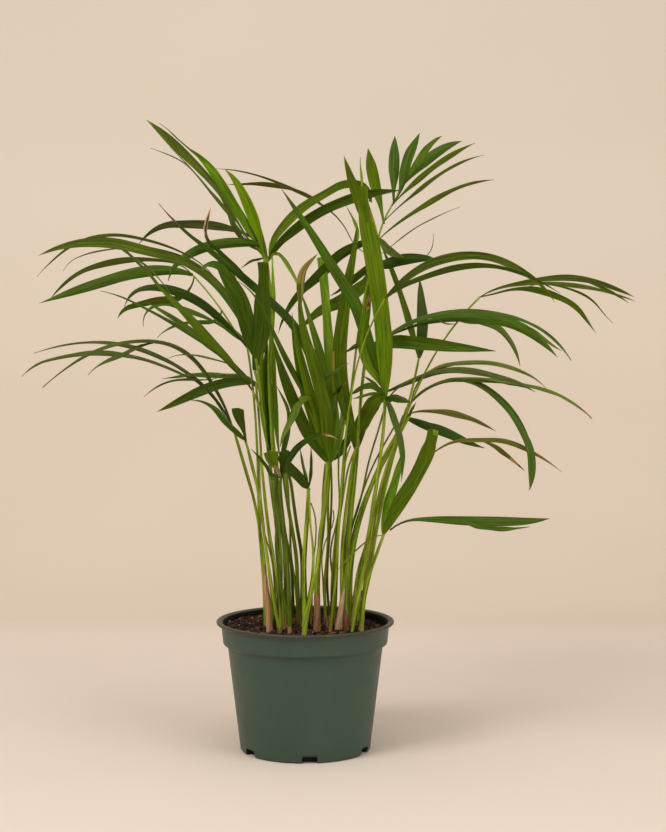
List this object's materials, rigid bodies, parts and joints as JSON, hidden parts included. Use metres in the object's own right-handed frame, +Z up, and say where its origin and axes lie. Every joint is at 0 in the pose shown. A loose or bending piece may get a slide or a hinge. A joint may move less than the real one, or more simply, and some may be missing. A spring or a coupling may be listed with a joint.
{
  "type": "potted palm",
  "caption": "Potted areca palm: a clump of slender stems with arching pinnate fronds in a tapered green plastic nursery pot, standing on the pot's flat underside.",
  "frame": {"origin": "centre of the pot's flat underside", "axes": "+Z up; -Y is the front, where the picture was taken from; +X to the right in the picture"},
  "size_m": [0.6216, 0.386, 0.593],
  "materials": {
    "pot_plastic": "satin",
    "growing_mix": "matte",
    "stem_green": "satin",
    "leaf_green": "satin"
  },
  "bodies": {
    "root": {"back_centre": "leaf_green", "back_left": "leaf_green", "back_low_left": "leaf_green", "back_low_right": "leaf_green", "back_mid_right": "leaf_green", "back_nw": "leaf_green", "back_right": "leaf_green", "back_spear": "leaf_green", "back_tall": "leaf_green", "centre": "leaf_green", "fan_ne": "leaf_green", "fan_ne_left": "leaf_green", "fan_nw_left": "leaf_green", "fan_nw_right": "leaf_green", "front_cut": "leaf_green", "front_left": "leaf_green", "front_low": "leaf_green", "left_cut": "leaf_green", "left_long": "leaf_green", "left_low": "leaf_green", "left_mid": "leaf_green", "left_rear": "leaf_green", "mid_tall": "leaf_green", "pot": "pot_plastic", "right_front": "leaf_green", "right_long": "leaf_green", "right_low": "leaf_green", "right_mid": "leaf_green", "right_spear": "leaf_green", "right_top": "leaf_green", "right_up": "leaf_green", "root_ball": "growing_mix", "star_low": "leaf_green", "star_up": "leaf_green", "stem_centre": "stem_green", "stem_fan_ne": "stem_green", "stem_fan_nw": "stem_green", "stem_front_cut": "stem_green", "stem_front_left": "stem_green", "stem_front_low": "stem_green", "stem_left_cut": "stem_green", "stem_left_long": "stem_green", "stem_left_low": "stem_green", "stem_left_mid": "stem_green", "stem_left_rear": "stem_green", "stem_mid_tall": "stem_green", "stem_right_front": "stem_green", "stem_right_long": "stem_green", "stem_right_low": "stem_green", "stem_right_mid": "stem_green", "stem_right_spear": "stem_green", "stem_right_top": "stem_green", "stem_right_up": "stem_green", "stem_star": "stem_green"}
  },
  "joints": []
}
